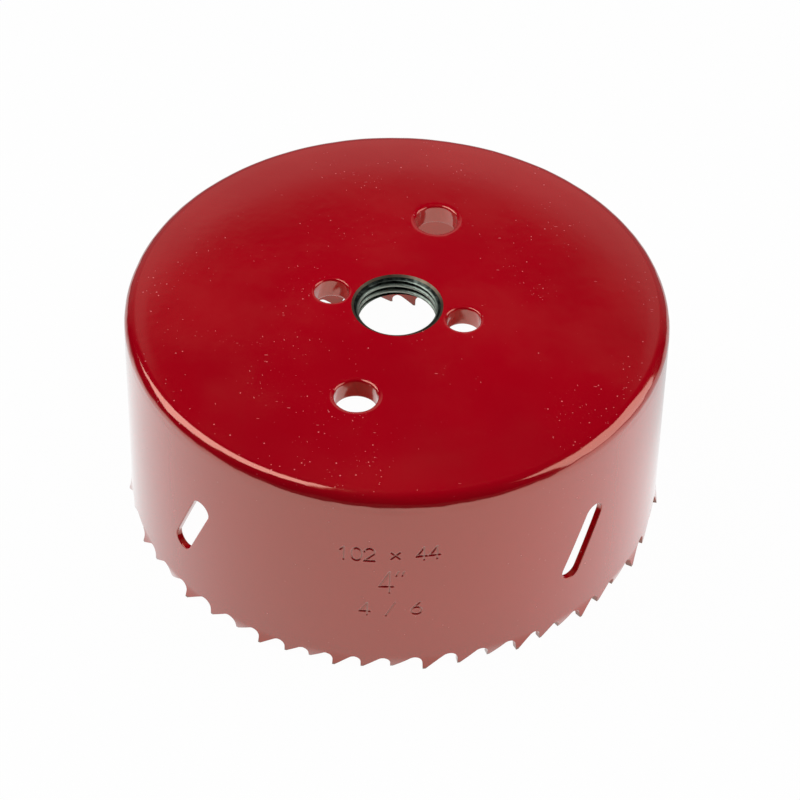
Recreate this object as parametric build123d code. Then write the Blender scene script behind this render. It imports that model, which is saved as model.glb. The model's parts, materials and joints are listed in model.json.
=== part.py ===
from build123d import *
import os
from math import cos, degrees, pi, radians, sin, tan

# Hole saw, millimetres. It stands on its teeth at z = 0 with the end plate up.
# The z axis is the arbor's axis and +X runs through one of the two drive-pin holes.

# Cup
cut_diameter = 101.6
tooth_set = 0.5
height = 43.7
wall_thickness = 1.27
edge_strip_height = 4.0

# End plate and its holes
plate_thickness = 4.2
rim_radius = 2.4
rim_tapers = 3
thread_diameter = 15.875
thread_chamfer = 0.55
pin_hole_diameter = 6.4
pin_circle_diameter = 25.4
outer_hole_diameter = 8.0
outer_circle_diameter = 50.8
outer_hole_turn = 90.0

# Slanted chip slots in the wall
slot_count = 4
slot_length = 16.2
slot_width = 4.0
slot_lean = 24.5
slot_height = 19.9
slot_turn = -30.5

# Teeth: a band cut to a repeating run of pitches, then rolled and butt welded
tooth_pitches = (6.5, 5.85, 5.45, 5.2, 4.6, 4.75, 5.15, 5.4, 5.9)
set_pattern = (1, 0, -1)
weld_turn = 70.4
set_bend_height = 1.95
back_angle = 37.0
gullet_radius_per_pitch = 0.24
tip_land_per_pitch = 0.085

# Worked out
body_radius = cut_diameter / 2 - tooth_set
inner_radius = body_radius - wall_thickness
plate_underside = height - plate_thickness
cutter_margin = 1.0


def ring(low, high):
    """The wall's section turned about the arbor's axis, between two heights."""
    section = Polyline(
        (inner_radius, 0, low),
        (body_radius, 0, low),
        (body_radius, 0, high),
        (inner_radius, 0, high),
        close=True,
    )
    return revolve(make_face(section), Axis.Z, 360)


def wall_plane(turn, radius, z=0.0):
    """A plane that faces outwards at a turn about the arbor's axis: x runs round the wall, y is up."""
    out = Vector(cos(radians(turn)), sin(radians(turn)), 0)
    around = Vector(-out.Y, out.X, 0)
    return Plane(origin=out * radius + Vector(0, 0, z), x_dir=around, z_dir=out)


def upright(diameter):
    """A cylinder through the end plate, on the arbor's axis."""
    bottom = (Align.CENTER, Align.CENTER, Align.MIN)
    return Pos(0, 0, plate_underside) * Cylinder(diameter / 2, plate_thickness, align=bottom)


def rim_points():
    """The dressed rim's quarter round, ground as a few short tapers, from the wall up to the face."""
    centre_r = body_radius - rim_radius
    centre_z = height - rim_radius
    angles = [radians(90 * k / rim_tapers) for k in range(rim_tapers + 1)]
    return [(centre_r + rim_radius * cos(a), centre_z + rim_radius * sin(a)) for a in angles]


def make_end_cap():
    """The thick punched disc with its rounded rim, tapped centre hole and four round holes."""
    lower_edge = [(0, plate_underside), (body_radius, plate_underside)]
    outline = Polyline(*lower_edge, *rim_points(), (0, height), close=True)
    disc = revolve(make_face(Plane.XZ * outline), Axis.Z, 360)
    disc -= upright(thread_diameter)
    mouth = disc.edges().filter_by(GeomType.CIRCLE).sort_by(SortBy.RADIUS)[:2].sort_by(Axis.Z)[-1]
    disc = chamfer(mouth, thread_chamfer)
    for diameter, circle, turn in (
        (pin_hole_diameter, pin_circle_diameter, 0.0),
        (outer_hole_diameter, outer_circle_diameter, outer_hole_turn),
    ):
        for side in (0, 180):
            disc -= Rot(0, 0, turn + side) * Pos(circle / 2, 0, 0) * upright(diameter)
    return disc


def make_cup_wall():
    """The rolled backing strip with its slanted slots."""
    wall = ring(edge_strip_height, plate_underside)
    outline = SlotOverall(slot_length, slot_width, rotation=90 - slot_lean)
    for k in range(slot_count):
        turn = slot_turn + 360 * k / slot_count
        plane = wall_plane(turn, inner_radius - cutter_margin, slot_height)
        wall -= extrude(plane * outline, wall_thickness + 2 * cutter_margin)
    return wall


def tooth_angles():
    """Angle of each rake face, from the run of pitches repeated along the rolled band."""
    strip_length = 2 * pi * body_radius
    mean_pitch = sum(tooth_pitches) / len(tooth_pitches)
    count = round(strip_length / mean_pitch)
    pitches = [tooth_pitches[k % len(tooth_pitches)] for k in range(count)]
    stretch = strip_length / sum(pitches)
    starts = [sum(pitches[:k]) * stretch for k in range(count + 1)]
    return [weld_turn + degrees(s / body_radius) for s in starts]


def tooth_sector(lean, start, end):
    """A piece of the edge strip between two gullets, bent out (+1), in (-1) or not at all (0)."""
    shift = lean * tooth_set
    section = Polyline(
        (inner_radius + shift, 0, 0),
        (body_radius + shift, 0, 0),
        (body_radius, 0, set_bend_height),
        (body_radius, 0, edge_strip_height),
        (inner_radius, 0, edge_strip_height),
        (inner_radius, 0, set_bend_height),
        close=True,
    )
    return Rot(0, 0, start) * revolve(make_face(section), Axis.Z, end - start)


def gullet(pitch):
    """The cut between two teeth: it ends at x = 0 on the next rake face, with the tips at y = 0."""
    radius = gullet_radius_per_pitch * pitch
    land = tip_land_per_pitch * pitch
    slope = radians(back_angle)
    centre_x = -radius
    centre_y = (pitch - radius - land) * tan(slope) - radius / cos(slope)
    touch = (centre_x - radius * sin(slope), centre_y + radius * cos(slope))
    heel = (land - pitch, 0)
    below = -cutter_margin
    middle = (centre_x + radius * sin(slope / 2), centre_y + radius * cos(slope / 2))
    outline = (
        Line(heel, touch)
        + ThreePointArc(touch, middle, (0, centre_y))
        + Line((0, centre_y), (0, below))
        + Line((0, below), (heel[0], below))
        + Line((heel[0], below), heel)
    )
    return make_face(outline)


def make_tooth_edge():
    """The high-speed-steel edge strip: set teeth at a varying pitch, tips level at z = 0."""
    angles = tooth_angles()
    count = len(angles) - 1
    steps = [radians(angles[k + 1] - angles[k]) * body_radius for k in range(count)]
    bottoms = [
        angles[k + 1] - degrees(gullet_radius_per_pitch * steps[k] / body_radius) for k in range(count)
    ]
    sectors = []
    cuts = []
    for k in range(count):
        start = bottoms[k - 1] - (360 if k == 0 else 0)
        sectors.append(tooth_sector(set_pattern[k % len(set_pattern)], start, bottoms[k]))
        plane = wall_plane(angles[k + 1], inner_radius - tooth_set - cutter_margin)
        depth = wall_thickness + 2 * tooth_set + 2 * cutter_margin
        cuts.append(extrude(plane * gullet(steps[k]), depth))
    edge = sectors[0].fuse(*sectors[1:])
    return edge.cut(*cuts)


def main():
    os.makedirs("parts", exist_ok=True)
    for name, piece in (
        ("end_cap", make_end_cap()),
        ("cup_wall", make_cup_wall()),
        ("tooth_edge", make_tooth_edge()),
    ):
        export_step(piece, os.path.join("parts", name + ".step"))


main()
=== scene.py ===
import json
from math import cos, pi, radians, sin, tan

import bmesh
import bpy
import numpy as np
from bpy.props import FloatProperty, FloatVectorProperty, PointerProperty, StringProperty
from mathutils import Matrix, Vector


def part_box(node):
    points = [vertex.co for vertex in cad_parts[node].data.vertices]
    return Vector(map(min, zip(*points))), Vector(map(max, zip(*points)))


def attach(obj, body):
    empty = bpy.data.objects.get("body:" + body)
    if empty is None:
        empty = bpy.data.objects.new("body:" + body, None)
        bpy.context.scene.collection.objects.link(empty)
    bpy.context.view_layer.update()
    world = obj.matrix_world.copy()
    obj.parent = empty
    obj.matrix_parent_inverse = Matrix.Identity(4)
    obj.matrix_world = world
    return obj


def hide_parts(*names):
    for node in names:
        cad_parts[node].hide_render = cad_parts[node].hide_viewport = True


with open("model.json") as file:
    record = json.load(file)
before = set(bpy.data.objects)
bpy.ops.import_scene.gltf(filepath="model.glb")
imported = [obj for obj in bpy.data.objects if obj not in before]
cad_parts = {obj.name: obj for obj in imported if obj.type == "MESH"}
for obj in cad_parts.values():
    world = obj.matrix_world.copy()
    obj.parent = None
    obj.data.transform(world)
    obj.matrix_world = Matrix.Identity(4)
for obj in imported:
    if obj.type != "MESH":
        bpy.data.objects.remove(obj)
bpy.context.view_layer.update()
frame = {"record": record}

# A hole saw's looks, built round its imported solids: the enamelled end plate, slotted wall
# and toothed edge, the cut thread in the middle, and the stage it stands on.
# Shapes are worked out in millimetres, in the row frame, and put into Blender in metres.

bl_info = {
    "name": "Hole Saw",
    "version": (1, 0, 0),
    "blender": (4, 5, 0),
    "location": "View3D > Sidebar > Hole Saw",
    "description": "Builds an enamelled hole saw with set teeth and its studio stage",
    "category": "Object",
}

MM = 0.001
ROOT = "root"


# -------- sizes from the frame

def node_span(name):
    """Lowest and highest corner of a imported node, in millimetres."""
    low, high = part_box(name)
    return np.array(low) / MM, np.array(high) / MM


def mount_sizes(name):
    """A mount's stated sizes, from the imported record."""
    return next(m["dims"] for m in frame["record"]["mounts"] if m["name"] == name)


PLATE_LOW, PLATE_HIGH = node_span("end_cap")
WALL_LOW, WALL_HIGH = node_span("cup_wall")
THREAD = mount_sizes("arbor_thread")
PIN_HOLES = mount_sizes("drive_pin_holes")
OUTER_HOLES = mount_sizes("outer_holes")

TOP = round(float(PLATE_HIGH[2]), 3)
UNDERSIDE = round(float(PLATE_LOW[2]), 3)
EDGE_TOP = round(float(WALL_LOW[2]), 3)
BODY_RADIUS = round(float(WALL_HIGH[0]), 2)


# -------- what a user would change

def length_setting(name, about, default, low, high):
    """A size that the user may change, in millimetres."""
    return FloatProperty(name=name, description=about + ", in millimetres", default=default, min=low, max=high)


def angle_setting(name, about, degrees):
    """An angle that the user may change, given here in degrees."""
    return FloatProperty(name=name, description=about, subtype="ANGLE", default=radians(degrees))


def factor_setting(name, about, default, high=1.0):
    """A strength or a share that the user may change, from 0 up."""
    return FloatProperty(name=name, description=about, subtype="FACTOR", default=default, min=0.0, max=high)


def colour_setting(name, about, default):
    """A colour that the user may change, as linear red, green and blue."""
    return FloatVectorProperty(
        name=name, description=about, subtype="COLOR", size=3, default=default, min=0.0, max=1.0)


class HoleSawShape(bpy.types.PropertyGroup):
    """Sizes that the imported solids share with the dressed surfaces, and the stamped figures."""

    wall_thickness: length_setting("Wall thickness", "Thickness of the rolled strip", 1.27, 0.5, 4.0)
    rim_radius: length_setting("Rim rounding", "Radius of the dressed weld round the end plate", 2.4, 0.2, 4.0)
    rim_unevenness: length_setting(
        "Rim unevenness", "How far the hand-dressed rim strays from a true round", 0.011, 0.0, 0.2)
    thread_pitch: length_setting("Thread pitch", "Advance of the arbor thread in one turn", 25.4 / 18, 0.5, 3.0)
    thread_chamfer: length_setting("Thread chamfer", "Width of the chamfer at the thread's mouth", 0.55, 0.0, 2.0)
    slot_length: length_setting("Slot length", "Overall length of a chip slot", 16.2, 5.0, 25.0)
    slot_width: length_setting("Slot width", "Width of a chip slot", 4.0, 1.0, 8.0)
    slot_lean: angle_setting("Slot lean", "Angle of a chip slot from upright", 24.5)
    slot_height: length_setting(
        "Slot height", "Height of the slots' middles above the tooth tips", 19.9, 5.0, 35.0)
    slot_turn: angle_setting("First slot", "Where the first slot stands round the axis", -30.5)
    tooth_set: length_setting("Tooth set", "How far set teeth lean out of the wall", 0.5, 0.0, 1.5)
    weld_turn: angle_setting("Edge joint", "Where the toothed band is butt welded, round the axis", 70.4)
    stamp_depth: length_setting("Stamp depth", "Depth of the stamped figures", 0.15, 0.01, 0.5)
    stamp_top: StringProperty(name="Stamp, top line", description="Figures of the top line", default="102 x 44")
    stamp_middle: StringProperty(
        name="Stamp, middle line", description="Figure of the middle line", default="4\"")
    stamp_bottom: StringProperty(
        name="Stamp, bottom line", description="Figures of the bottom line", default="4 / 6")


class HoleSawFinish(bpy.types.PropertyGroup):
    """Colours and gloss of the enamel and the bare steel."""

    enamel: colour_setting("Enamel", "Colour of the stoved enamel", (0.46, 0.0, 0.009))
    enamel_gloss: factor_setting("Enamel roughness", "Roughness under the enamel's clear surface", 0.13)
    steel: colour_setting("Thread steel", "Colour of the bare steel in the thread", (0.30, 0.36, 0.31))
    worn_steel: colour_setting(
        "Worn steel", "Colour of the steel that shows on the cutting edges", (0.15, 0.10, 0.09))
    dust: factor_setting("Dust", "How many pale specks lie on the upward faces", 0.6)
    # A darker, browner colour for the bottom of the stamped figures
    stamp_groove_colour: colour_setting("Grime", "Colour of the dirt that fills the stamped figures", (0.15, 0.04, 0.025))


class HoleSawStage(bpy.types.PropertyGroup):
    """The camera and the light."""

    camera_turn: angle_setting("Camera turn", "Where the camera stands round the saw", 16.108)
    camera_height: angle_setting("Camera elevation", "Angle of the view down onto the end plate", 42.014)
    camera_distance: FloatProperty(
        name="Camera distance", description="From the middle of the end plate", subtype="DISTANCE", unit="LENGTH",
        default=0.6491)
    lens: FloatProperty(
        name="Lens", description="Focal length on a 36 mm sensor, in millimetres", default=158.61, min=10.0)
    softbox: factor_setting("Lamps", "Brightness of all the lamps together", 1.0, 4.0)


# -------- meshes from grids

def put_in_scene(name, data, place=None):
    """An object with that mesh, lamp or camera, at the origin or where its matrix says."""
    thing = bpy.data.objects.new(name, data)
    if place is not None:
        thing.matrix_world = place
    bpy.context.scene.collection.objects.link(thing)
    return thing


class Shell:
    """Grids of points that meet edge to edge, gathered and then welded into one closed mesh."""

    merge_distance = 2e-7           # in metres, as the next one
    sliver_length = 1e-8

    def __init__(self):
        self.points = []
        self.faces = []
        self.wear = []
        self.count = 0

    def add(self, points, faces, wear=None):
        """Gathers points, faces that count from this block's first point, and each point's wear."""
        self.points.append(points.reshape(-1, 3))
        self.faces.append(faces + self.count)
        self.wear.append(np.zeros(points.size // 3) if wear is None else wear.ravel())
        self.count += self.points[-1].shape[0]

    def grid(self, points, closed=False, keep=None, wear=None):
        """Four-sided faces of a rows x columns grid; closed joins the last column to the first."""
        rows, columns = points.shape[:2]
        index = np.arange(rows * columns).reshape(rows, columns)
        if closed:
            index = np.concatenate([index, index[:, :1]], axis=1)
        quads = np.stack([index[:-1, :-1], index[:-1, 1:], index[1:, 1:], index[1:, :-1]], axis=-1)
        self.add(points, quads[keep] if keep is not None else quads.reshape(-1, 4), wear)

    def zipper(self, coarse, fine):
        """Triangles from a loop to a finer one that has a whole number of points for each of its edges."""
        count = len(coarse)
        share = len(fine) // count
        edge = np.arange(count)[:, None]
        step = np.arange(share)[None, :]
        here = count + (edge * share + step)
        there = count + (edge * share + step + 1) % len(fine)
        near = np.where(step < share // 2, edge, (edge + 1) % count)
        fans = np.stack([near, here, there], axis=-1).reshape(-1, 3)
        middle = count + edge[:, 0] * share + share // 2
        bridges = np.stack([edge[:, 0], middle, (edge[:, 0] + 1) % count], axis=-1)
        triangles = np.concatenate([fans, bridges])
        self.add(np.concatenate([coarse, fine]), triangles)

    def build(self, name, sharp=radians(38), cylinders=()):
        """Welds the grids, turns every face outwards and makes the object, with its wear as an attribute."""
        points = np.concatenate(self.points) * MM
        faces = [face for block in self.faces for face in block.tolist()]
        mesh = bpy.data.meshes.new(name)
        mesh.from_pydata(points, [], faces)
        wear = np.concatenate(self.wear).astype(np.float32)
        if wear.any():
            mesh.attributes.new("wear", "FLOAT", "POINT").data.foreach_set("value", wear)
        work = bmesh.new()
        work.from_mesh(mesh)
        bmesh.ops.remove_doubles(work, verts=work.verts, dist=self.merge_distance)
        bmesh.ops.dissolve_degenerate(work, edges=work.edges, dist=self.sliver_length)
        bmesh.ops.recalc_face_normals(work, faces=work.faces)
        work.to_mesh(mesh)
        work.free()
        mesh.polygons.foreach_set("use_smooth", np.ones(len(mesh.polygons), bool))
        mesh.set_sharp_from_angle(angle=sharp)
        mesh.validate()
        for radius, side in cylinders:
            set_round_normals(mesh, radius * MM, side)
        return put_in_scene(name, mesh)


def set_round_normals(mesh, radius, side):
    """Points the normals of every face that lies on that cylinder straight out (side 1) or in (side -1)."""
    points = np.empty(len(mesh.vertices) * 3)
    mesh.vertices.foreach_get("co", points)
    points = points.reshape(-1, 3)
    corners = np.empty(len(mesh.loops), int)
    mesh.loops.foreach_get("vertex_index", corners)
    sizes = np.empty(len(mesh.polygons), int)
    mesh.polygons.foreach_get("loop_total", sizes)
    reach = np.hypot(points[:, 0], points[:, 1])
    off = (np.abs(reach - radius) > 1e-8 + 1e-6 * radius)[corners]
    starts = np.concatenate([[0], np.cumsum(sizes)[:-1]])
    whole = np.repeat(np.add.reduceat(off.astype(int), starts) == 0, sizes)
    kept = np.array([corner.vector[:] for corner in mesh.corner_normals])
    outwards = points[corners] * (side, side, 0) / reach[corners, None]
    mesh.normals_split_custom_set(np.where(whole[:, None], outwards, kept))


def polar(radius, turn, height):
    """Points at a distance from the axis, a turn about it and a height: x = r cos t, y = r sin t."""
    radius, turn, height = np.broadcast_arrays(radius, turn, height)
    return np.stack([radius * np.cos(turn), radius * np.sin(turn), height], axis=-1)


def outline_of(points, rows, columns):
    """The loop of grid points round a block of rows and columns, anticlockwise from its low corner."""
    low, high = rows
    sides = [
        points[low, columns],
        points[low:high + 1, columns[-1]],
        points[high, columns[::-1]],
        points[low:high + 1, columns[0]][::-1],
    ]
    return np.concatenate([side[:-1] for side in sides])


def between(start, end, count):
    """Rows of points part way from one loop to another, without the two loops themselves."""
    share = np.linspace(0, 1, count + 2)[1:-1, None, None]
    return start[None] * (1 - share) + end[None] * share


def unevenness(seed, waves, count, *angles):
    """A repeatable uneven field: a sum of cosines whose whole-number frequencies lie round those in waves."""
    rng = np.random.default_rng(seed)
    total = 0.0
    for _ in range(count):
        phase = rng.uniform(0, 2 * pi)
        for angle, wave in zip(angles, waves):
            phase = phase + rng.integers(-wave, wave + 1) * angle
        total = total + rng.normal() * np.cos(phase)
    return total / count ** 0.5


def quarter(radius, count, fall=None):
    """Run-in and drop of a quarter round or oval from flat to upright: r (1 - sin a) and f (1 - cos a)."""
    angle = np.linspace(0, pi / 2, count)
    return radius * (1 - np.sin(angle)), (radius if fall is None else fall) * (1 - np.cos(angle))


# -------- end plate

PLATE_COLUMNS = 480
PIN_CELL = (9.0, 16.6, 28)  # inner and outer radius, and half its columns
OUTER_CELL = (20.2, 30.6, 16)
# How far out and how far down the round of a hole's mouth goes.
HOLE_ROUNDING = {"pin": (0.45, 0.45), "outer": (0.85, 0.5)}
LOWER_ROUNDING = (0.3, 0.3)
HOLE_TEAR = 0.03  # how far a punched wall strays inwards
CROWN_START = 28.0  # radius at which the face begins to fall
CROWN_DROP = 0.3  # and how far it would have fallen at the wall


def crowned(radius):
    """Height of the plate's face: flat in the middle, then falling with the cube of the distance outwards."""
    return TOP - CROWN_DROP * (np.clip(radius - CROWN_START, 0, None) / (BODY_RADIUS - CROWN_START)) ** 3


def rim_start(rim_radius):
    """Where the face ends and the rim's round begins: radius, height and the face's slope there."""
    slope = 3 * CROWN_DROP * (BODY_RADIUS - rim_radius - CROWN_START) ** 2 / (BODY_RADIUS - CROWN_START) ** 3
    radius = BODY_RADIUS - rim_radius * (1 - sin(slope))
    return radius, crowned(radius), slope


def plate_radii(start, end):
    """Radii of the rings that carry the plate's flat faces, with the rows that the hole cells need."""
    spans = ((start, PIN_CELL[0], 2), (*PIN_CELL[:2], 14), (PIN_CELL[1], OUTER_CELL[0], 3),
             (*OUTER_CELL[:2], 18), (OUTER_CELL[1], end, 8))
    rings = [np.linspace(low, high, rows, endpoint=False) for low, high, rows in spans]
    return np.concatenate([*rings, [end]])


def hole_walls(centre, radius, rounding, upper, lower, seed):
    """Skin of one punched hole: face, rounded mouth, wall and lower mouth, as circles about the hole's middle.

    Each circle keeps the directions in which the cell's outline points lie, so the rows never twist.
    The wall strays from round by a small uneven field, as a punched wall does.
    """
    flat = upper[:, :2] - centre
    direction = np.arctan2(flat[:, 1], flat[:, 0])
    run, drop = quarter(rounding[0], 8, rounding[1])
    low_run, low_drop = quarter(LOWER_ROUNDING[0], 6, LOWER_ROUNDING[1])
    wall = np.linspace(TOP - rounding[1], UNDERSIDE + LOWER_ROUNDING[1], 14)[1:-1]
    heights = np.concatenate([TOP - drop, wall, UNDERSIDE + low_drop[::-1]])
    radii = np.concatenate([radius + run, np.full(len(wall), radius), radius + low_run[::-1]])
    depth = (TOP - heights) / (TOP - UNDERSIDE)
    fade = np.clip(np.sin(pi * depth), 0, None)[:, None] ** 0.5
    radii = radii[:, None] - HOLE_TEAR * fade * np.clip(
        unevenness(seed, (9, 2), 18, direction[None, :], depth[:, None] * pi), -1.2, 1.2)
    rings = np.stack([
        centre[0] + radii * np.cos(direction),
        centre[1] + radii * np.sin(direction),
        np.broadcast_to(heights[:, None], radii.shape),
    ], axis=-1)
    return np.concatenate([
        upper[None], between(upper, rings[0], 4), rings, between(rings[-1], lower, 4), lower[None],
    ])


def rim_rows(turns, rim_radius, stray):
    """The dressed rim: a quarter round of that radius, sunk by an uneven field, then the plain side."""
    shoulder, slope = rim_start(rim_radius)[1:]
    angle = np.linspace(pi / 2 - slope, 0, 26)
    middle = shoulder - rim_radius * cos(slope)
    side = np.linspace(middle, UNDERSIDE, 6)[1:]
    across = np.concatenate([angle, np.zeros(len(side))])[:, None]
    base_r = BODY_RADIUS - rim_radius + rim_radius * np.cos(across)
    base_z = np.concatenate([middle + rim_radius * np.sin(angle), side])[:, None]
    along = np.concatenate([(angle[0] - angle) * rim_radius, angle[0] * rim_radius + middle - side])
    length = along[-1]
    fade = (np.sin(pi * along / length) ** 1.2)[:, None]
    phase = (along / length * 2 * pi)[:, None]
    relief = unevenness(11, (110, 3), 40, turns[None, :], phase) + 1.6 * unevenness(
        12, (34, 2), 24, turns[None, :], phase)
    relief = stray * fade * (relief - relief.max())
    return polar(base_r + relief * np.cos(across), turns[None, :], base_z + relief * np.sin(across))


def end_plate_shell(shape):
    """The end plate as one skin: polar grids with a cell left out round each hole, the holes, rim and bore."""
    shell = Shell()
    turns = np.arange(PLATE_COLUMNS) * 2 * pi / PLATE_COLUMNS
    bore = THREAD["r_mm"] + shape.thread_chamfer
    radii = plate_radii(bore, rim_start(shape.rim_radius)[0])
    faces = [polar(radii[:, None], turns[None, :], z) for z in (crowned(radii)[:, None], UNDERSIDE)]
    keep = np.ones((len(radii) - 1, PLATE_COLUMNS), bool)
    for kind, holes, cell, quarter_turn in (
        ("pin", PIN_HOLES, PIN_CELL, 0), ("outer", OUTER_HOLES, OUTER_CELL, 1),
    ):
        rows = tuple(int(np.argmin(abs(radii - edge))) for edge in cell[:2])
        for side in (0, 2):
            quarters = quarter_turn + side
            middle = quarters * PLATE_COLUMNS // 4
            columns = (middle + np.arange(-cell[2], cell[2] + 1)) % PLATE_COLUMNS
            keep[rows[0]:rows[1], columns[:-1]] = False
            turn = quarters * pi / 2
            centre = holes["pcd_mm"] / 2 * np.array([cos(turn), sin(turn)])
            loops = [outline_of(face, rows, columns) for face in faces]
            walls = hole_walls(centre, holes["hole_r_mm"], HOLE_ROUNDING[kind], *loops, 20 + quarters)
            shell.grid(walls, closed=True)
    for face in faces:
        shell.grid(face, closed=True, keep=keep)
    rim = rim_rows(turns, shape.rim_radius, shape.rim_unevenness)
    under = polar(np.linspace(BODY_RADIUS, radii[-1], 3)[:, None], turns[None, :], UNDERSIDE)
    shell.grid(np.concatenate([rim, under[1:]]), closed=True)
    shell.grid(polar(bore, turns[None, :], np.linspace(TOP, UNDERSIDE, 5)[:, None]), closed=True)
    return shell


# -------- arbor thread

MOUTH_SLOPE = 1.6  # radius lost for each millimetre of depth in the countersunk mouth
THREAD_START = 0.1  # where the first crest lies, as a depth under the face
THREAD_DEPTH_PER_PITCH = 0.5413 * 0.92  # a 60 degree thread's, a little less than full
THREAD_GRID = (112, 256)  # rows and columns


def thread_radius(turn, height, shape):
    """Radius of the cut thread: a V with flat crest and root, climbing one pitch in a turn anticlockwise.

    Its flanks are eased a little, and the chamfer at the mouth is a cone that cuts the first turn away.
    """
    pitch = shape.thread_pitch
    major = THREAD["r_mm"]
    depth = THREAD_DEPTH_PER_PITCH * pitch
    phase = ((height - TOP + THREAD_START) / pitch - turn / (2 * pi)) % 1.0
    climb = np.clip((np.abs(phase - 0.5) - 1 / 8) / (0.5 - 1 / 8 - 1 / 16), 0, 1)
    climb = climb * climb * (3 - 2 * climb) * 0.35 + climb * 0.65
    mouth = major + shape.thread_chamfer - (TOP - height) * MOUTH_SLOPE
    return np.maximum(major - depth + depth * climb, mouth)


def thread_shell(shape):
    """A steel ring whose inner face is the thread and whose outer face lies in the plate's bore."""
    shell = Shell()
    rows, columns = THREAD_GRID
    turns = np.arange(columns) * 2 * pi / columns
    heights = np.linspace(TOP, UNDERSIDE, rows)[:, None]
    inner = polar(thread_radius(turns[None, :], heights, shape), turns[None, :], heights)
    outer_radius = THREAD["r_mm"] + shape.thread_chamfer
    outer = polar(outer_radius, turns[None, :], np.linspace(UNDERSIDE, TOP, 3)[:, None])
    shell.grid(inner, closed=True)
    shell.grid(np.concatenate([inner[-1:], outer[:1]]), closed=True)
    shell.grid(outer, closed=True)
    return shell


# -------- stamped figures

def arc(x, y, wide, high, start, end):
    """Points along an ellipse's arc, by angle in degrees."""
    angle = np.radians(np.linspace(start, end, max(4, int(abs(end - start) / 15))))
    return np.stack([x + wide * np.cos(angle), y + high * np.sin(angle)], axis=-1)


def line(*points):
    """Points of a run of straight strokes."""
    return np.array(points, float)


# Each figure is a few strokes in a box of this width and height 1, drawn as a round-nosed punch leaves them.
FIGURE_WIDTH = 0.62
FIGURES = {
    "0": [arc(0.31, 0.5, 0.31, 0.5, 0, 360)],
    "1": [line((0.1, 0.78), (0.31, 1.0), (0.31, 0.0))],
    "2": [np.concatenate([arc(0.31, 0.7, 0.3, 0.3, 170, -25), line((0.0, 0.0), (0.62, 0.0))])],
    "4": [line((0.62, 0.3), (0.0, 0.3), (0.45, 1.0), (0.45, 0.0))],
    "6": [arc(0.31, 0.3, 0.31, 0.3, 0, 360), line((0.5, 1.0), (0.18, 0.62), (0.03, 0.4))],
    "x": [line((0.06, 0.2), (0.56, 0.7)), line((0.56, 0.2), (0.06, 0.7))],
    "/": [line((0.05, -0.05), (0.57, 1.05))],
    "\"": [line((0.12, 1.0), (0.03, 0.82)), line((0.38, 1.0), (0.29, 0.82))],
    " ": [],
}
STROKE_HALF_WIDTH = 0.25
STAMP_LIP = (1.5, 0.45, 0.14)  # distance and width in half strokes, and height as a share of the depth
# Each line of figures: middle and foot in millimetres, letter height and width, width of its whole run.
STAMP_LINES = {
    "stamp_top": (-0.15, 28.0, 3.1, 1.9, 18.1),
    "stamp_middle": (0.9, 19.9, 5.3, 2.5, 5.4),
    "stamp_bottom": (0.3, 14.1, 3.0, 1.9, 11.2),
}
STAMP_SLOPE = 0.047  # rise of the lines for each millimetre round the wall


def stamp_segments(shape):
    """Start and end points of every straight bit of stroke, in millimetres round the wall and up it."""
    starts, ends = [], []
    for name, (middle, foot, high, glyph, wide) in STAMP_LINES.items():
        text = getattr(shape, name)
        gap = (wide - glyph) / max(1, len(text) - 1)
        first = middle - (wide - glyph) / 2
        for place, figure in enumerate(text):
            for stroke in FIGURES[figure]:
                x = first + place * gap - glyph / 2 + stroke[:, 0] / FIGURE_WIDTH * glyph
                points = np.stack([x, foot + stroke[:, 1] * high + x * STAMP_SLOPE], axis=-1)
                starts.append(points[:-1])
                ends.append(points[1:])
    return np.concatenate(starts), np.concatenate(ends)


def stamp_depth(x, z, shape):
    """Depth of the stamping: a cosine groove by the distance to the nearest stroke, and a low lip beside it."""
    starts, ends = stamp_segments(shape)
    nearest = np.full(x.shape, np.inf)
    for start, end in zip(starts, ends):
        run = end - start
        share = np.clip(((x - start[0]) * run[0] + (z - start[1]) * run[1]) / (run @ run), 0, 1)
        gap = np.hypot(x - start[0] - share * run[0], z - start[1] - share * run[1])
        nearest = np.minimum(nearest, gap)
    near = np.clip(nearest / STROKE_HALF_WIDTH, 0, 1)
    away, wide, high = STAMP_LIP
    lip = np.exp(-((nearest - away * STROKE_HALF_WIDTH) / (wide * STROKE_HALF_WIDTH)) ** 2)
    return shape.stamp_depth * (0.5 + 0.5 * np.cos(pi * near) - high * lip)


# -------- slotted wall

WALL_COLUMNS = 240
WALL_ROWS = 31
SLOT_COUNT = 4
SLOT_CELL = (5, 5, 22)  # half its columns, lowest row, highest row
SLOT_SHARE = 5  # points of the fine outline for each one of the cell's
SLOT_ROUNDING = (0.22, 0.15)  # outside and inside
STAMP_CELL = (-29, 8, 7, 25)  # columns from the first slot, half its columns, lowest and highest row
STAMP_SHARE = 12
STAMP_TURN = radians(-74.3)  # the stamp's middle, round the axis
INSET = 0.93  # size of a fine outline as a share of its cell


def finer(loop, share, centre):
    """The loop with each edge divided, drawn in towards its middle."""
    nxt = np.roll(loop, -1, axis=0)
    step = np.arange(share)[None, :, None] / share
    fine = (loop[:, None] * (1 - step) + nxt[:, None] * step).reshape(-1, 2)
    return centre + (fine - centre) * INSET


def slot_outline(direction, grow, shape):
    """A round-ended slot about (0, 0), by direction: sides give r = w / |sin a|, ends a circle's reach."""
    radius = shape.slot_width / 2 + grow
    reach = (shape.slot_length - shape.slot_width) / 2
    angle = direction - (pi / 2 - shape.slot_lean)
    side = radius / np.maximum(np.abs(np.sin(angle)), 1e-9)
    on_side = np.abs(side * np.cos(angle)) <= reach
    end = reach * np.abs(np.cos(angle)) + np.sqrt(np.maximum(radius ** 2 - (reach * np.sin(angle)) ** 2, 0))
    distance = np.where(on_side, side, end)
    return np.stack([distance * np.cos(direction), distance * np.sin(direction)], axis=-1)


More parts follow.
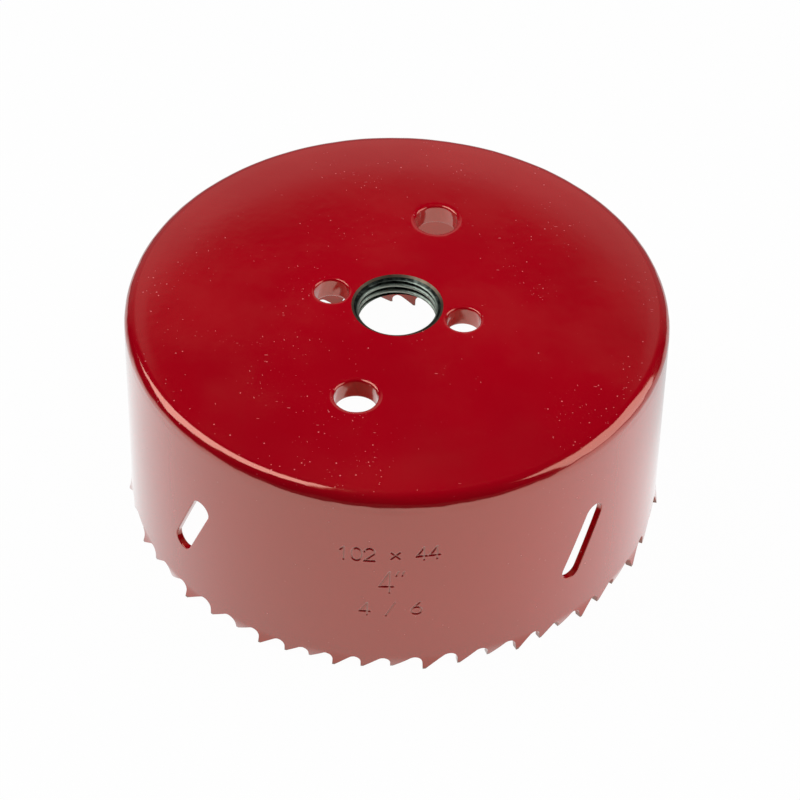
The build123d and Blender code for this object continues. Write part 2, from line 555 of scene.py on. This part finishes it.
def on_wall(flat, radius, turn):
    """Points given as an offset along the tangent and a height, put on a cylinder: turn + asin(x / r)."""
    return polar(radius, turn + np.arcsin(flat[..., 0] / radius), flat[..., 1])


def slot_cell(shell, loop, turn, shape):
    """One slot: the wall round it, a rounded lip, the cut face, an inner lip and the wall inside."""
    inner_radius = BODY_RADIUS - shape.wall_thickness
    middle = np.array([0.0, shape.slot_height])
    flats = []
    for radius in (BODY_RADIUS, inner_radius):
        tangent = np.stack([radius * np.sin(loop[:, 0] - turn), loop[:, 1]], axis=-1)
        flats.append(tangent)
        shell.zipper(on_wall(tangent, radius, turn), on_wall(finer(tangent, SLOT_SHARE, middle), radius, turn))
    outer, inner = (finer(flat, SLOT_SHARE, middle) for flat in flats)
    direction = np.arctan2(outer[:, 1] - middle[1], outer[:, 0])
    rows = [on_wall(outer, BODY_RADIUS, turn)]
    first = middle + slot_outline(direction, SLOT_ROUNDING[0], shape)
    rows += [on_wall(row, BODY_RADIUS, turn) for row in between(outer, first, 4)]
    run, drop = quarter(SLOT_ROUNDING[0], 6)
    rows += [on_wall(middle + slot_outline(direction, r, shape), BODY_RADIUS - d, turn)
             for r, d in zip(run, drop)]
    run, drop = quarter(SLOT_ROUNDING[1], 5)
    rows += [on_wall(middle + slot_outline(direction, r, shape), inner_radius + d, turn)
             for r, d in zip(run[::-1], drop[::-1])]
    last = middle + slot_outline(direction, SLOT_ROUNDING[1], shape)
    rows += [on_wall(row, inner_radius, turn) for row in between(last, inner, 4)]
    rows.append(on_wall(inner, inner_radius, turn))
    shell.grid(np.stack(rows), closed=True)


def stamp_cell(shell, points, rows, columns, turns, heights, shape):
    """The stamped field: a fine rectangular grid on the wall, sunk by the depth of the figures."""
    low, high = rows
    start = turns[columns[0]]
    end = start + (len(columns) - 1) * 2 * pi / WALL_COLUMNS
    centre = np.array([(start + end) / 2, (heights[low] + heights[high]) / 2])
    half = np.array([(end - start) / 2, (heights[high] - heights[low]) / 2]) * INSET
    across = np.linspace(centre[0] - half[0], centre[0] + half[0], (len(columns) - 1) * STAMP_SHARE + 1)
    up = np.linspace(centre[1] - half[1], centre[1] + half[1], (high - low) * STAMP_SHARE + 1)
    turn, z = np.meshgrid(across, up)
    depth = stamp_depth((turn - STAMP_TURN) * BODY_RADIUS, z, shape)
    field = polar(BODY_RADIUS - depth, turn, z)
    shell.grid(field, wear=np.clip(depth / shape.stamp_depth, 0, 1))
    shell.zipper(outline_of(points, rows, columns), outline_of(field, (0, len(up) - 1), np.arange(len(across))))


def wall_shell(shape):
    """The rolled wall: two cylinders as grids of turn and height, with a cell for each slot and the stamp."""
    shell = Shell()
    inner_radius = BODY_RADIUS - shape.wall_thickness
    turns = shape.slot_turn + np.arange(WALL_COLUMNS) * 2 * pi / WALL_COLUMNS
    heights = np.linspace(EDGE_TOP, UNDERSIDE, WALL_ROWS)
    outer = polar(BODY_RADIUS, turns[None, :], heights[:, None])
    inner = polar(inner_radius, turns[None, :], heights[:, None])
    keep_outer = np.ones((WALL_ROWS - 1, WALL_COLUMNS), bool)
    keep_inner = keep_outer.copy()
    half, low, high = SLOT_CELL
    for k in range(SLOT_COUNT):
        turn = shape.slot_turn + 2 * pi * k / SLOT_COUNT
        offsets = np.arange(-half, half + 1)
        columns = (k * WALL_COLUMNS // SLOT_COUNT + offsets) % WALL_COLUMNS
        keep_outer[low:high, columns[:-1]] = False
        keep_inner[low:high, columns[:-1]] = False
        local = np.stack(np.meshgrid(turn + offsets * 2 * pi / WALL_COLUMNS, heights), axis=-1)
        slot_cell(shell, outline_of(local, (low, high), np.arange(2 * half + 1)), turn, shape)
    middle, half, low, high = STAMP_CELL
    columns = (middle + np.arange(-half, half + 1)) % WALL_COLUMNS
    keep_outer[low:high, columns[:-1]] = False
    unwound = np.where(turns > pi, turns - 2 * pi, turns)
    stamp_cell(shell, outer, (low, high), columns, unwound, heights, shape)
    shell.grid(outer, closed=True, keep=keep_outer)
    shell.grid(inner, closed=True, keep=keep_inner)
    for ends in ((outer[0], inner[0]), (outer[-1], inner[-1])):
        shell.grid(np.stack(ends), closed=True)
    return shell


# -------- toothed edge

TOOTH_PITCHES = (6.5, 5.85, 5.45, 5.2, 4.6, 4.75, 5.15, 5.4, 5.9)
SET_PATTERN = (1, 0, -1)
SET_BEND_HEIGHT = 2.7
BACK_ANGLE = radians(37)
GULLET_RADIUS_PER_PITCH = 0.24
TIP_LAND_PER_PITCH = 0.085
TOOTH_POINTS = (6, 8, 14)  # on the rake face, the back and the gullet
TOOTH_ROWS = 11  # from the tooth outline up to the band's top
EDGE_BREAK = 0.05  # how far the cut edges are taken off


def tooth_steps():
    """The pitches of all the teeth round the band, stretched a little so that they close."""
    circumference = 2 * pi * BODY_RADIUS
    count = round(circumference / np.mean(TOOTH_PITCHES))
    pitches = np.resize(TOOTH_PITCHES, count)
    return pitches * circumference / pitches.sum()


def tooth_outline(before, step):
    """One tooth: from the top of its rake face down to the tip, over the land, up its back and round the gullet.

    The rake face is upright at x = 0, the back climbs at the back angle, and the gullet is an arc that
    meets the next rake face at x = step. Returns x, height, whether a point leans with this tooth, and its wear.
    """
    rake_top = gullet_centre(before)[1]
    radius = GULLET_RADIUS_PER_PITCH * step
    centre_x, centre_z = gullet_centre(step)
    touch = (centre_x - radius * sin(BACK_ANGLE), centre_z + radius * cos(BACK_ANGLE))
    land = TIP_LAND_PER_PITCH * step
    rake, back, bend = (np.linspace(0, 1, points)[:-1] for points in TOOTH_POINTS)
    bend = (pi / 2 + BACK_ANGLE) * (1 - bend)
    climb = land + (touch[0] - land) * back
    x = np.concatenate([0 * rake, [0, land / 2], climb, centre_x + radius * np.cos(bend)])
    z = np.concatenate([rake_top * (1 - rake), [0, 0], touch[1] * back, centre_z + radius * np.sin(bend)])
    own = np.concatenate([np.ones(len(rake) + 2 + len(back)), bend >= pi / 2])
    wear = np.concatenate([0.45 + 0.55 * rake, [1, 1], np.clip(1 - 2.6 * back, 0, 1), 0 * bend])
    return x, z, own, wear


def gullet_centre(step):
    """Centre of a gullet's arc, from the rake face before it: the arc touches the back and the next rake."""
    radius = GULLET_RADIUS_PER_PITCH * step
    land = TIP_LAND_PER_PITCH * step
    return step - radius, (step - radius - land) * tan(BACK_ANGLE) - radius / cos(BACK_ANGLE)


def band_outline(shape):
    """The band's lower edge: arc length round the wall, height, lean, arc length above each point, and wear."""
    steps = tooth_steps()
    starts = np.concatenate([[0], np.cumsum(steps)])
    s, z, lean, above, worn = [], [], [], [], []
    for k, step in enumerate(steps):
        x, height, own, wear = tooth_outline(steps[k - 1], step)
        run = np.hypot(np.diff(x, append=step), np.diff(height, append=gullet_centre(step)[1]))
        travelled = np.concatenate([[0], np.cumsum(run)])
        following = SET_PATTERN[(k + 1) % len(steps) % len(SET_PATTERN)]
        s.append(starts[k] + x)
        z.append(height)
        lean.append(np.where(own > 0, SET_PATTERN[k % len(SET_PATTERN)], following))
        above.append(starts[k] + step * travelled[:-1] / travelled[-1])
        worn.append(wear)
    return [np.concatenate(part) for part in (s, z, lean, above, worn)]


def band_point(radius, s, z, lean, shape):
    """A point of the band: the wall's cylinder, leaning out by (1 - z / h) ^ 1.5 under the bend's height h."""
    shift = lean * shape.tooth_set * np.clip(1 - z / SET_BEND_HEIGHT, 0, 1) ** 1.5
    return polar(radius + shift, shape.weld_turn + s / BODY_RADIUS, z)


def edge_shell(shape):
    """The toothed band: rows from the tooth outline up to its top, outside and inside, and the cut faces."""
    shell = Shell()
    s, z, lean, above, worn = band_outline(shape)
    run = np.stack([np.roll(s, -1) - np.roll(s, 1), np.roll(z, -1) - np.roll(z, 1)])
    run[0] = (run[0] + pi * BODY_RADIUS) % (2 * pi * BODY_RADIUS) - pi * BODY_RADIUS
    run /= np.hypot(*run)
    broken = np.stack([s - run[1] * EDGE_BREAK, z + run[0] * EDGE_BREAK])
    share = (np.linspace(0, 1, TOOTH_ROWS) ** 0.9)[:, None]
    inner_radius = BODY_RADIUS - shape.wall_thickness
    skins = []
    for radius in (BODY_RADIUS, inner_radius):
        length = broken[0] * (1 - share) + above * share
        height = broken[1] * (1 - share) + EDGE_TOP * share
        skins.append(band_point(radius, length, height, lean, shape))
    cut = np.stack([band_point(r, s, z, lean, shape)
                    for r in np.linspace(BODY_RADIUS - EDGE_BREAK, inner_radius + EDGE_BREAK, 3)])
    outer, inner = skins
    fading = worn * np.clip(1 - 5 * share, 0, 1)
    wear = np.concatenate([fading[::-1], np.broadcast_to(worn, cut.shape[:2]), fading])
    shell.grid(np.concatenate([outer[::-1], cut, inner]), closed=True, wear=wear)
    shell.grid(np.stack([outer[-1], inner[-1]]), closed=True)
    return shell


# -------- materials

SPECKS = ((1100.0, 0.16, 2.6), (460.0, 0.085, 1.5))  # cells a metre, largest size in cells, and how crowded
FIBRES = ((0.25, 0.0026, 0.4), (-1.0, 0.0017, 0.5))  # turn, length of a cell in metres, and how crowded
FIBRE_CELL = (0.0005, 0.002)  # a cell's width and height in metres
FIBRE_SIZE = 0.14
DUST_COLOUR = (0.95, 0.23, 0.27, 1.0)
# Painted shade for the roots of the arbor thread, near black
THREAD_ROOT_SHADE = (0.006, 0.007, 0.006, 1.0)
MOUTH_RUST = (0.16, 0.12, 0.085, 1.0)
# The tint gives the enamel's own mirror the colour that its many layers give it, and the coat stays clear.
ENAMEL_SURFACE = {
    "IOR": 2.3, "Specular Tint": (1.0, 0.42, 0.27, 1.0),
    "Coat Weight": 1.0, "Coat Roughness": 0.07, "Coat IOR": 1.5,
}


def put(tree, kind, inputs=None, **settings):
    """Adds a node, sets its options, and links or sets its inputs by name or number."""
    made = tree.nodes.new("ShaderNode" + kind)
    for name, value in settings.items():
        setattr(made, name, value)
    for name, value in (inputs or {}).items():
        if isinstance(value, bpy.types.NodeSocket):
            tree.links.new(value, made.inputs[name])
        else:
            made.inputs[name].default_value = value
    return made


def sums(tree, operation, first, *others, clamp=False):
    """The result of Math nodes that take in one value after another."""
    for other in others:
        first = put(tree, "Math", {0: first, 1: other}, operation=operation, use_clamp=clamp).outputs[0]
    return first


def mix(tree, factor, first, second):
    """Two colours mixed by a factor."""
    return put(tree, "Mix", {"Factor": factor, "A": first, "B": second}, data_type="RGBA").outputs["Result"]


def axis(tree, vector, name):
    """One of a vector's three numbers."""
    return put(tree, "SeparateXYZ", {"Vector": vector}).outputs[name]


def wear_of(tree):
    """The wear that a mesh carries: how deep a point lies in the stamp, or how bare a tooth is there."""
    return put(tree, "Attribute", {}, attribute_name="wear").outputs["Fac"]


def between_levels(tree, value, low, high, floor=0.0, ceiling=1.0):
    """Value carried smoothly from one range to another."""
    return put(tree, "MapRange", {"Value": value, "From Min": low, "From Max": high,
                                  "To Min": floor, "To Max": ceiling}, interpolation_type="SMOOTHSTEP").outputs[0]


def noise(tree, coords, scale, detail=2.0, roughness=0.5):
    """Fractal noise on Object coordinates, scale in cells a metre."""
    return put(tree, "TexNoise", {"Vector": coords, "Scale": scale, "Detail": detail,
                                  "Roughness": roughness}).outputs[0]


def specks(tree, coords, scale, size, crowd):
    """Specks up to size cells across, one in each cell whose own chance is under crowd, faint or bright."""
    cells = put(tree, "TexVoronoi", {"Vector": coords, "Scale": scale}, feature="F1")
    chance = put(tree, "SeparateColor", {"Color": cells.outputs["Color"]})
    chosen = sums(tree, "LESS_THAN", chance.outputs["Red"], crowd)
    reach = between_levels(tree, chance.outputs["Green"], 0.0, 1.0, 0.35 * size, size)
    body = between_levels(tree, sums(tree, "SUBTRACT", reach, cells.outputs["Distance"]), -0.012, 0.02)
    faint = between_levels(tree, sums(tree, "POWER", chance.outputs["Blue"], 3.0), 0.0, 1.0, 0.13, 1.0)
    return sums(tree, "MULTIPLY", body, chosen, faint)


def stretched(tree, coords, turn, long):
    """Coordinates in cells that are long one way and narrow across it, turned about the axis, for fibres."""
    return put(tree, "Mapping", {"Vector": coords, "Rotation": (0.0, 0.0, turn), "Scale": (long, *FIBRE_CELL)},
               vector_type="TEXTURE").outputs[0]


def new_material(name):
    """An empty node material with its shader and output, and Object coordinates."""
    material = bpy.data.materials.new(name)
    material.use_nodes = True
    tree = material.node_tree
    shader = tree.nodes["Principled BSDF"]
    coords = put(tree, "TexCoord").outputs["Object"]
    return material, tree, shader, coords


def enamel_surface(tree, shader, coords, finish):
    """Stoved enamel: deep red with slow shifts of tone, orange peel, and dust and fibres on what faces up."""
    facing_up = axis(tree, put(tree, "NewGeometry").outputs["Normal"], "Z")
    upward = between_levels(tree, facing_up, 0.25, 0.8, 0.22, 1.0)
    patches = between_levels(tree, noise(tree, coords, 42.0, 3.0, 0.6), 0.42, 0.68)
    crowd = sums(tree, "MULTIPLY", patches, upward, finish.dust)
    kinds = [(coords, *kind) for kind in SPECKS]
    kinds += [(stretched(tree, coords, turn, long), 1.0, FIBRE_SIZE, amount) for turn, long, amount in FIBRES]
    grit = sums(tree, "MAXIMUM", *(specks(tree, place, scale, size, sums(tree, "MULTIPLY", crowd, amount))
                                   for place, scale, size, amount in kinds))
    tone = between_levels(tree, noise(tree, coords, 24.0, 2.0), 0.3, 0.7)
    red = mix(tree, tone, *((*(part * light for part in finish.enamel), 1.0) for light in (0.93, 1.04)))
    smear = between_levels(tree, noise(tree, coords, 60.0, 4.0, 0.65), 0.35, 0.75, 0.8, 1.5)
    rough = sums(tree, "MULTIPLY", smear, finish.enamel_gloss)
    tree.links.new(sums(tree, "MAXIMUM", rough, sums(tree, "MULTIPLY", grit, 0.6)), shader.inputs["Roughness"])
    peel = put(tree, "Bump", {"Height": noise(tree, coords, 520.0, 2.0), "Strength": 0.08, "Distance": 0.00015})
    lumps = put(tree, "Bump", {"Height": grit, "Normal": peel.outputs[0], "Strength": 0.4, "Distance": 0.0001})
    tree.links.new(lumps.outputs[0], shader.inputs["Normal"])
    for name, value in ENAMEL_SURFACE.items():
        shader.inputs[name].default_value = value
    return mix(tree, sums(tree, "MULTIPLY", grit, 0.85), red, DUST_COLOUR)


def enamel_material(finish):
    """The enamel, mixed towards a darker, browner colour in the bottom of the stamped figures."""
    material, tree, shader, coords = new_material("red_enamel")
    clean = enamel_surface(tree, shader, coords, finish)
    # Darker and browner the deeper a point lies in the stamp
    in_groove = between_levels(tree, wear_of(tree), 0.3, 0.95, 0.0, 0.65)
    tree.links.new(mix(tree, in_groove, clean, (*finish.stamp_groove_colour, 1.0)), shader.inputs["Base Color"])
    return material


def thread_material(finish):
    """Cut steel, dark and greenish, with turning lines round the axis, and painted shade, near black, in the
    roots of the thread, which leaves the crests brighter.
    """
    material, tree, shader, coords = new_material("cut_thread_steel")
    flat = put(tree, "VectorMath", {0: coords, 1: (1.0, 1.0, 0.0)}, operation="MULTIPLY").outputs[0]
    reach = put(tree, "VectorMath", {0: flat}, operation="LENGTH").outputs["Value"]
    root = THREAD["r_mm"] * MM
    sunk = between_levels(tree, reach, root - 0.6 * MM, root - 0.3 * MM)
    mouth = between_levels(tree, reach, root + 0.02 * MM, root + 0.15 * MM)
    mottled = noise(tree, coords, 700.0, 4.0, 0.6)
    # Painted shade: the roots of the thread, where sunk is 1, go near black, broken up by the mottling
    root_shade = sums(tree, "MULTIPLY", sunk, between_levels(tree, mottled, 0.25, 0.6, 0.7, 1.0), clamp=True)
    steel = mix(tree, root_shade, (*finish.steel, 1.0), THREAD_ROOT_SHADE)
    tree.links.new(mix(tree, mouth, steel, MOUTH_RUST), shader.inputs["Base Color"])
    tree.links.new(between_levels(tree, mottled, 0.3, 0.7, 0.28, 0.5), shader.inputs["Roughness"])
    lines = noise(tree, put(tree, "Mapping", {"Vector": coords, "Scale": (60.0, 60.0, 9000.0)}).outputs[0], 1.0)
    bump = put(tree, "Bump", {"Height": lines, "Strength": 0.25, "Distance": 0.00003})
    tree.links.new(bump.outputs[0], shader.inputs["Normal"])
    shader.inputs["Metallic"].default_value = 0.85
    return material


def tooth_material(finish):
    """The same enamel, worn through to steel on the tips and rake faces."""
    material, tree, shader, coords = new_material("worn_tooth_enamel")
    enamel = enamel_surface(tree, shader, coords, finish)
    broken = sums(tree, "MULTIPLY", noise(tree, coords, 1300.0, 4.0, 0.65), 0.6)
    bare = between_levels(tree, sums(tree, "ADD", wear_of(tree), broken), 0.85, 1.05)
    low = between_levels(tree, axis(tree, coords, "Z"), 3.2 * MM, 1.2 * MM)
    steel = mix(tree, sums(tree, "MULTIPLY", bare, low), enamel, (*finish.worn_steel, 1.0))
    tree.links.new(steel, shader.inputs["Base Color"])
    return material


# -------- operators

def settings():
    """The three groups of settings of the current scene."""
    scene = bpy.context.scene
    return scene.hole_saw_shape, scene.hole_saw_finish, scene.hole_saw_stage


def dress(piece, material, slot, *nodes):
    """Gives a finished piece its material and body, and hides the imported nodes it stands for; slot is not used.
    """
    piece.data.materials.clear()
    piece.data.materials.append(material)
    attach(piece, ROOT)
    if nodes:
        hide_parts(*nodes)
    return piece


def shared_material(name, make):
    """A material by name, made once."""
    return bpy.data.materials.get(name) or make(bpy.context.scene.hole_saw_finish)


class HOLESAW_OT_end_plate(bpy.types.Operator):
    """Build the enamelled end plate with its dressed rim and punched holes"""

    bl_idname = "holesaw.end_plate"
    bl_label = "End Plate"

    def execute(self, context):
        piece = end_plate_shell(context.scene.hole_saw_shape).build("end_plate")
        dress(piece, shared_material("red_enamel", enamel_material), "red_paint", "end_cap")
        return {"FINISHED"}


class HOLESAW_OT_thread(bpy.types.Operator):
    """Build the arbor thread cut in the middle of the end plate"""

    bl_idname = "holesaw.thread"
    bl_label = "Arbor Thread"

    def execute(self, context):
        piece = thread_shell(context.scene.hole_saw_shape).build("arbor_thread_cut")
        dress(piece, shared_material("cut_thread_steel", thread_material), "thread_steel")
        return {"FINISHED"}


class HOLESAW_OT_wall(bpy.types.Operator):
    """Build the rolled wall with its slanted slots and stamped figures"""

    bl_idname = "holesaw.wall"
    bl_label = "Slotted Wall"

    def execute(self, context):
        shape = context.scene.hole_saw_shape
        faces = ((BODY_RADIUS, 1), (BODY_RADIUS - shape.wall_thickness, -1))
        piece = wall_shell(shape).build("slotted_wall", cylinders=faces)
        dress(piece, shared_material("red_enamel", enamel_material), "red_paint", "cup_wall")
        return {"FINISHED"}


class HOLESAW_OT_toothed_edge(bpy.types.Operator):
    """Build the band of set teeth"""

    bl_idname = "holesaw.toothed_edge"
    bl_label = "Toothed Edge"

    def execute(self, context):
        piece = edge_shell(context.scene.hole_saw_shape).build("set_teeth", sharp=radians(30))
        dress(piece, shared_material("worn_tooth_enamel", tooth_material), "tooth_paint", "tooth_edge")
        return {"FINISHED"}


WHITE = (1.0, 1.0, 1.0, 1.0)
FLOOR_HALF = 3.0  # in metres
FLOOR_GREY = (0.86, 0.86, 0.86, 1.0)
WHITE_SHARE = 0.98  # how much of the floor's white is its own, and not the light that falls on it
FRAMING = (("Y", radians(-0.0758)), ("X", radians(-1.5443)), ("Z", radians(1.2422)))  # pan, tilt and roll
SOFTBOXES = (
    # turn from the camera, elevation, roll, distance, width, height, brightness, shows in reflections
    ("softbox_left", -91.5, 49.0, 61.5, 0.45, 0.48, 0.25, 2.7, True),
    ("softbox_right", 87.0, 22.0, 0.0, 0.50, 0.48, 0.48, 1.75, True),
    ("bounce_overhead", 180.0, 82.0, 0.0, 0.10, 0.09, 0.09, 1.8, False),
)
TABLE_GLOW = 0.8  # brightness of the lit table inside the cup
TABLE_GLOW_HEIGHT = 0.0004
TABLE_GLOW_MARGIN = 6.0  # between it and the wall, in millimetres
# The lit white table that reflections show: where it fades out to each side, in metres, from full to dark.
TABLE_DARK = 0.96
TABLE_FRONT = (-0.118, -0.094)
TABLE_LEFT = (-0.36, -0.13)
TABLE_RIGHT = (0.60, 0.20)
TABLE_REAR = (0.30, 0.14, 0.25)
TABLE_SHADE = (0.055, 0.0, 0.62)  # behind the saw, where its own shade begins, and how bright it stays
TABLE_SKEW = 0.2  # how far the shade comes forward for each metre to the right

FILL = 0.18  # plain light from all round
BACKDROP_GLOW = 0.37
BACKDROP_GAP = (46.5, 6.5, 8.4)  # dark gap in the glow: its middle's elevation, and where it ends, in degrees
BACKDROP_FAR = (26.0, 12.0, 0.5)  # the glow fades between these angles from the gap to this share
BACKDROP_TOP = (47.0, 43.0)  # and between these elevations to nothing
BACKDROP_SIDES = (0.6, 0.85)  # and between these cosines of the angle from straight behind the saw


def floor_material(turn):
    """White to the camera, matt to the light, so that it keeps its shadow, and a lit table in reflections."""
    material = bpy.data.materials.new("floor_white")
    material.use_nodes = True
    tree = material.node_tree
    tree.nodes.clear()
    path = put(tree, "LightPath")
    mirrored = sums(tree, "MAXIMUM", path.outputs["Is Glossy Ray"], path.outputs["Is Transmission Ray"])
    seen = sums(tree, "MAXIMUM", path.outputs["Is Camera Ray"], mirrored)
    turned = put(tree, "Mapping", {"Vector": put(tree, "TexCoord").outputs["Object"],
                                   "Rotation": (0.0, 0.0, -turn)}).outputs[0]
    across, back = (axis(tree, turned, name) for name in "XY")
    shaded = sums(tree, "ADD", back, sums(tree, "MULTIPLY", across, TABLE_SKEW))
    table = sums(tree, "MULTIPLY", *(between_levels(tree, place, *levels) for place, levels in (
        (back, TABLE_FRONT), (across, TABLE_LEFT), (across, TABLE_RIGHT), (back, TABLE_REAR),
        (shaded, TABLE_SHADE),
    )))
    dim = sums(tree, "MULTIPLY", sums(tree, "SUBTRACT", 1.0, table), TABLE_DARK, mirrored)
    matt = put(tree, "BsdfDiffuse", {"Color": FLOOR_GREY})
    white = put(tree, "Emission", {"Color": WHITE, "Strength": sums(tree, "SUBTRACT", 1.0, dim)})
    share = sums(tree, "MULTIPLY", seen, WHITE_SHARE)
    mixed = put(tree, "MixShader", {0: share, 1: matt.outputs[0], 2: white.outputs[0]})
    from_below = put(tree, "NewGeometry").outputs["Backfacing"]
    clear = put(tree, "BsdfTransparent").outputs[0]
    shown = put(tree, "MixShader", {0: from_below, 1: mixed.outputs[0], 2: clear})
    put(tree, "OutputMaterial", {"Surface": shown.outputs[0]})
    return material


def studio_world(turn):
    """White to the camera; in reflections a dim backdrop behind the saw, with a dark gap in it; a little fill."""
    world = bpy.data.worlds.new("studio")
    world.use_nodes = True
    tree = world.node_tree
    tree.nodes.clear()
    path = put(tree, "LightPath")
    direction = put(tree, "TexCoord").outputs["Generated"]
    swing, lift = turn + pi / 2, radians(BACKDROP_GAP[0])
    gap = (cos(swing) * cos(lift), sin(swing) * cos(lift), sin(lift))
    towards_gap = put(tree, "VectorMath", {0: direction, 1: gap}, operation="DOT_PRODUCT").outputs["Value"]
    behind = put(tree, "VectorMath", {0: direction, 1: (cos(swing), sin(swing), 0.0)},
                 operation="DOT_PRODUCT").outputs["Value"]
    height = axis(tree, direction, "Z")
    gap_end, far = (np.cos(np.radians(angles)).tolist() for angles in (BACKDROP_GAP[1:], BACKDROP_FAR[:2]))
    top = np.sin(np.radians(BACKDROP_TOP)).tolist()
    backdrop = sums(tree, "MULTIPLY", *(between_levels(tree, *levels) for levels in (
        (towards_gap, *gap_end, 0.0, BACKDROP_GLOW), (towards_gap, *far, BACKDROP_FAR[2]),
        (height, *top), (behind, *BACKDROP_SIDES),
    )))
    mirrored, fill, plain = (
        put(tree, "Background", {"Color": WHITE, "Strength": strength}) for strength in (backdrop, FILL, 1.0))
    lit = put(tree, "MixShader", {0: path.outputs["Is Glossy Ray"], 1: fill.outputs[0], 2: mirrored.outputs[0]})
    seen = put(tree, "MixShader", {0: path.outputs["Is Camera Ray"], 1: lit.outputs[0], 2: plain.outputs[0]})
    put(tree, "OutputWorld", {"Surface": seen.outputs[0]})
    return world


def aimed(turn, elevation, distance, target):
    """A place that looks at target from a turn about it and an elevation, in radians and metres."""
    swing = Matrix.Rotation(turn, 4, "Z") @ Matrix.Rotation(pi / 2 - elevation, 4, "X")
    return Matrix.Translation(target) @ swing @ Matrix.Translation((0, 0, distance))


def area_lamp(name, shape, wide, high, energy, place, mirrored):
    """A lamp that the camera doesn't see and that shows in reflections or not."""
    lamp = bpy.data.lights.new(name, "AREA")
    lamp.shape = shape
    lamp.size, lamp.size_y, lamp.energy = wide, high, energy
    thing = put_in_scene(name, lamp, place)
    thing.visible_camera = False
    thing.visible_glossy = mirrored


class HOLESAW_OT_stage(bpy.types.Operator):
    """Set up the pale floor, softboxes, surroundings and camera"""

    bl_idname = "holesaw.stage"
    bl_label = "Stage"

    def execute(self, context):
        stage = context.scene.hole_saw_stage
        target = Vector((0.0, 0.0, TOP * MM))
        mesh = bpy.data.meshes.new("floor")
        corners = np.array([(-1, -1, 0), (1, -1, 0), (1, 1, 0), (-1, 1, 0)]) * FLOOR_HALF
        mesh.from_pydata(corners, [], [(0, 1, 2, 3)])
        mesh.materials.append(floor_material(stage.camera_turn))
        floor = put_in_scene("floor", mesh)
        context.scene.world = studio_world(stage.camera_turn)
        for name, turn, elevation, roll, distance, wide, high, bright, mirrored in SOFTBOXES:
            place = aimed(stage.camera_turn + radians(turn), radians(elevation), distance, target)
            place = place @ Matrix.Rotation(radians(roll), 4, "Z")
            energy = stage.softbox * bright * pi * wide * high
            area_lamp(name, "RECTANGLE", wide, high, energy, place, mirrored)
        across = 2 * (BODY_RADIUS - TABLE_GLOW_MARGIN) * MM
        energy = stage.softbox * TABLE_GLOW * pi * (across / 2) ** 2 * pi
        upwards = Matrix.Translation((0, 0, TABLE_GLOW_HEIGHT)) @ Matrix.Rotation(pi, 4, "X")
        area_lamp("table_glow", "DISK", across, across, energy, upwards, False)
        view = bpy.data.cameras.new("camera")
        view.lens, view.sensor_width = stage.lens, 36.0
        view.clip_start, view.clip_end = 0.01, 20.0
        place = aimed(stage.camera_turn, stage.camera_height, stage.camera_distance, target)
        for axis_name, angle in FRAMING:
            place = place @ Matrix.Rotation(angle, 4, axis_name)
        context.scene.camera = put_in_scene("camera", view, place)
        context.scene.view_settings.view_transform = "Standard"
        return {"FINISHED"}


class HOLESAW_PT_panel(bpy.types.Panel):
    """Lists the pieces of the hole saw in the sidebar"""

    bl_idname = "HOLESAW_PT_panel"
    bl_label = "Hole Saw"
    bl_space_type = "VIEW_3D"
    bl_region_type = "UI"
    bl_category = "Hole Saw"

    def draw(self, context):
        """A button for each operator, and a box with each group of settings."""
        layout = self.layout
        for operator in OPERATORS:
            layout.operator(operator.bl_idname)
        for group in settings():
            box = layout.box()
            for name in group.bl_rna.properties.keys():
                if name not in {"rna_type", "name"}:
                    box.prop(group, name)


OPERATORS = (
    HOLESAW_OT_stage, HOLESAW_OT_end_plate, HOLESAW_OT_thread, HOLESAW_OT_wall, HOLESAW_OT_toothed_edge,
)
CLASSES = (HoleSawShape, HoleSawFinish, HoleSawStage, *OPERATORS, HOLESAW_PT_panel)


def register():
    """Adds the classes and hangs the settings on the scene."""
    for cls in CLASSES:
        bpy.utils.register_class(cls)
    bpy.types.Scene.hole_saw_shape = PointerProperty(type=HoleSawShape)
    bpy.types.Scene.hole_saw_finish = PointerProperty(type=HoleSawFinish)
    bpy.types.Scene.hole_saw_stage = PointerProperty(type=HoleSawStage)


def unregister():
    """Takes both away again."""
    for name in ("hole_saw_shape", "hole_saw_finish", "hole_saw_stage"):
        delattr(bpy.types.Scene, name)
    for cls in reversed(CLASSES):
        bpy.utils.unregister_class(cls)


def main():
    register()
    for operator in OPERATORS:
        area, name = operator.bl_idname.split(".")
        getattr(getattr(bpy.ops, area), name)()


if __name__ == "__main__":
    main()
